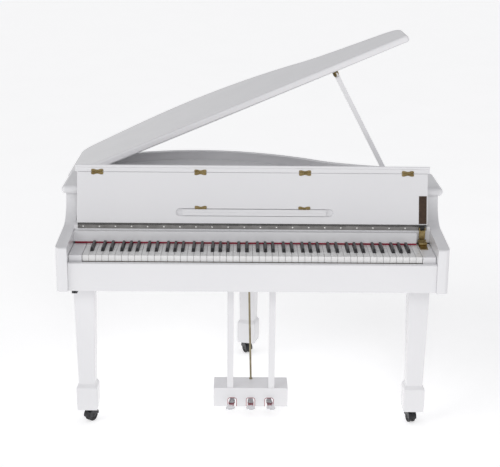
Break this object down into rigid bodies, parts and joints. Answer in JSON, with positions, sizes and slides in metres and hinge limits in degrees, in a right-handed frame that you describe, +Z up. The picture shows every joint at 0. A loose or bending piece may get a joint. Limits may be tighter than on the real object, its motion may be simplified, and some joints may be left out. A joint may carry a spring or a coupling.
{
  "type": "digital baby grand piano",
  "caption": "White digital baby grand piano with a propped lid, folding fallboard with lip and music ledge, hinged keys, pedal lyre and casters.",
  "frame": {"origin": "middle of the footprint on the floor, with x=0 in the middle of the keyboard", "axes": "+X to the player's right, +Y towards the tail, +Z up"},
  "size_m": [1.454, 1.163, 1.467],
  "materials": {
    "white_lacquer": "high gloss white lacquer over board",
    "brass": "polished brass",
    "red_felt": "dark red wool felt",
    "polished_steel": "polished strip hinge",
    "brown_leather": "smooth dark brown wear strip",
    "black_rubber": "matt",
    "black_steel": "black painted",
    "caster_plastic": "black moulded",
    "wheel_plastic": "black moulded tread",
    "chrome": "polished",
    "beech": "bare beech",
    "white_key": "smooth ivory white",
    "black_key": "satin black",
    "speaker_black": "matt cone and basket",
    "amplifier_steel": "folded sheet",
    "dark_plastic": "moulded"
  },
  "bodies": {
    "case": {"keybed": "white_lacquer", "keyslip": "white_lacquer", "case_rim": "white_lacquer", "left_arm": "white_lacquer", "right_arm": "white_lacquer", "left_cheek_block": "white_lacquer", "right_cheek_block": "white_lacquer", "key_back_rail": "white_lacquer", "key_felt": "red_felt", "front_panel": "white_lacquer", "front_top_panel": "white_lacquer", "inner_deck": "white_lacquer", "bottom_board": "white_lacquer", "hinge_strip_fixed": "polished_steel", "damper_body": "brass", "lid_hinges_case": "brass", "prop_seat": "white_lacquer", "front_left_leg": "white_lacquer", "front_right_leg": "white_lacquer", "rear_leg": "white_lacquer", "caster_plates": "black_steel", "lyre_posts": "white_lacquer", "pedal_box": "white_lacquer", "lyre_brace_rod": "brass", "pedal_felts": "red_felt", "key_frame": "beech", "speakers": "speaker_black", "amplifier": "amplifier_steel", "headphone_jack": "dark_plastic"},
    "fallboard": {"fallboard": "white_lacquer", "hinge_strip_moving": "polished_steel", "lip_hinges_board": "brass", "ledge_hinges_board": "brass", "wear_strip": "brown_leather"},
    "lip": {"fallboard_lip": "white_lacquer", "lip_hinges_lip": "brass"},
    "ledge": {"music_ledge": "white_lacquer", "ledge_hinges_flap": "brass"},
    "damper_arm": {"damper_arm": "brass"},
    "damper_roller": {"damper_roller": "black_rubber"},
    "lid": {"lid": "white_lacquer", "lid_hinges_lid": "brass", "prop_bracket": "brass"},
    "prop": {"lid_prop": "white_lacquer"},
    "left_pedal": {"left_pedal": "chrome"},
    "middle_pedal": {"middle_pedal": "chrome"},
    "right_pedal": {"right_pedal": "chrome"},
    "front_left_caster": {"front_left_caster": "caster_plastic"},
    "front_left_wheels": {"front_left_wheels": "wheel_plastic"},
    "front_right_caster": {"front_right_caster": "caster_plastic"},
    "front_right_wheels": {"front_right_wheels": "wheel_plastic"},
    "rear_caster": {"rear_caster": "caster_plastic"},
    "rear_wheels": {"rear_wheels": "wheel_plastic"},
    "bass_white_keys": {"bass_white_keys": "white_key"},
    "bass_black_keys": {"bass_black_keys": "black_key"},
    "middle_c_key": {"middle_c_key": "white_key"},
    "c_sharp_key": {"c_sharp_key": "black_key"},
    "d_key": {"d_key": "white_key"},
    "treble_white_keys": {"treble_white_keys": "white_key"},
    "treble_black_keys": {"treble_black_keys": "black_key"}
  },
  "joints": [
    {"name": "lid_hinge", "type": "hinge", "parent": "case", "child": "lid", "pos_m": [-0.7125, 0.1745, 0.877], "axis": [0, -1, 0], "range_deg": [-23, 0]},
    {"name": "prop_hinge", "type": "hinge", "parent": "lid", "child": "prop", "pos_m": [0.32643, 0.0065, 1.30659], "axis": [-0.6255, -0.7058, -0.3326], "range_deg": [-94, 0]},
    {"name": "fallboard_hinge", "type": "hinge", "parent": "case", "child": "fallboard", "pos_m": [0, -0.3685, 0.798], "axis": [-1, 0, 0], "range_deg": [-114, 0]},
    {"name": "lip_hinge", "type": "hinge", "parent": "fallboard", "child": "lip", "pos_m": [0, -0.31556, 0.98516], "axis": [-1, 0, 0], "range_deg": [-90, 0]},
    {"name": "ledge_hinge", "type": "hinge", "parent": "fallboard", "child": "ledge", "pos_m": [0, -0.35296, 0.85472], "axis": [-1, 0, 0], "range_deg": [0, 90]},
    {"name": "damper_arm_pivot", "type": "hinge", "parent": "case", "child": "damper_arm", "pos_m": [0.633, -0.3785, 0.741], "axis": [-1, 0, 0], "range_deg": [-30, 0]},
    {"name": "damper_roller_spin", "type": "hinge", "parent": "damper_arm", "child": "damper_roller", "pos_m": [0.633, -0.3785, 0.792], "axis": [1, 0, 0], "continuous": true},
    {"name": "left_pedal_press", "type": "hinge", "parent": "case", "child": "left_pedal", "pos_m": [-0.072, -0.2705, 0.08], "axis": [1, 0, 0], "range_deg": [0, 4], "stiffness_Nm_per_rad": 4, "springref_deg": -8.59},
    {"name": "middle_pedal_press", "type": "hinge", "parent": "case", "child": "middle_pedal", "pos_m": [0, -0.2705, 0.08], "axis": [1, 0, 0], "range_deg": [0, 4], "stiffness_Nm_per_rad": 4, "springref_deg": -8.59},
    {"name": "right_pedal_press", "type": "hinge", "parent": "case", "child": "right_pedal", "pos_m": [0.072, -0.2705, 0.08], "axis": [1, 0, 0], "range_deg": [0, 4], "stiffness_Nm_per_rad": 4, "springref_deg": -8.59},
    {"name": "front_left_caster_swivel", "type": "hinge", "parent": "case", "child": "front_left_caster", "pos_m": [-0.629, -0.3715, 0.056], "axis": [0, 0, 1], "continuous": true},
    {"name": "front_left_wheel_roll", "type": "hinge", "parent": "front_left_caster", "child": "front_left_wheels", "pos_m": [-0.62097, -0.36003, 0.024], "axis": [0.8192, -0.5736, 0], "continuous": true},
    {"name": "front_right_caster_swivel", "type": "hinge", "parent": "case", "child": "front_right_caster", "pos_m": [0.629, -0.3715, 0.056], "axis": [0, 0, 1], "continuous": true},
    {"name": "front_right_wheel_roll", "type": "hinge", "parent": "front_right_caster", "child": "front_right_wheels", "pos_m": [0.62561, -0.35792, 0.024], "axis": [0.9703, 0.2419, 0], "continuous": true},
    {"name": "rear_caster_swivel", "type": "hinge", "parent": "case", "child": "rear_caster", "pos_m": [-0.005, 0.3525, 0.056], "axis": [0, 0, 1], "continuous": true},
    {"name": "rear_wheel_roll", "type": "hinge", "parent": "rear_caster", "child": "rear_wheels", "pos_m": [-0.01092, 0.36519, 0.024], "axis": [0.9063, 0.4226, 0], "continuous": true},
    {"name": "bass_white_keys_press", "type": "hinge", "parent": "case", "child": "bass_white_keys", "pos_m": [0, -0.3235, 0.702], "axis": [1, 0, 0], "range_deg": [0, 2.5], "stiffness_Nm_per_rad": 20, "springref_deg": -11.46},
    {"name": "bass_black_keys_press", "type": "hinge", "parent": "case", "child": "bass_black_keys", "pos_m": [0, -0.3235, 0.702], "axis": [1, 0, 0], "range_deg": [0, 2.5], "stiffness_Nm_per_rad": 8, "springref_deg": -11.46},
    {"name": "middle_c_key_press", "type": "hinge", "parent": "case", "child": "middle_c_key", "pos_m": [0, -0.3235, 0.702], "axis": [1, 0, 0], "range_deg": [0, 2.5], "stiffness_Nm_per_rad": 1, "springref_deg": -11.46},
    {"name": "c_sharp_key_press", "type": "hinge", "parent": "case", "child": "c_sharp_key", "pos_m": [0, -0.3235, 0.702], "axis": [1, 0, 0], "range_deg": [0, 2.5], "stiffness_Nm_per_rad": 0.5, "springref_deg": -11.46},
    {"name": "d_key_press", "type": "hinge", "parent": "case", "child": "d_key", "pos_m": [0, -0.3235, 0.702], "axis": [1, 0, 0], "range_deg": [0, 2.5], "stiffness_Nm_per_rad": 1, "springref_deg": -11.46},
    {"name": "treble_white_keys_press", "type": "hinge", "parent": "case", "child": "treble_white_keys", "pos_m": [0, -0.3235, 0.702], "axis": [1, 0, 0], "range_deg": [0, 2.5], "stiffness_Nm_per_rad": 24, "springref_deg": -11.46},
    {"name": "treble_black_keys_press", "type": "hinge", "parent": "case", "child": "treble_black_keys", "pos_m": [0, -0.3235, 0.702], "axis": [1, 0, 0], "range_deg": [0, 2.5], "stiffness_Nm_per_rad": 9, "springref_deg": -11.46}
  ],
  "couplings": [
    {"joint": "prop_hinge", "follows": "lid_hinge", "ratio": 4.0667},
    {"joint": "damper_arm_pivot", "follows": "fallboard_hinge", "ratio": 0.26}
  ]
}
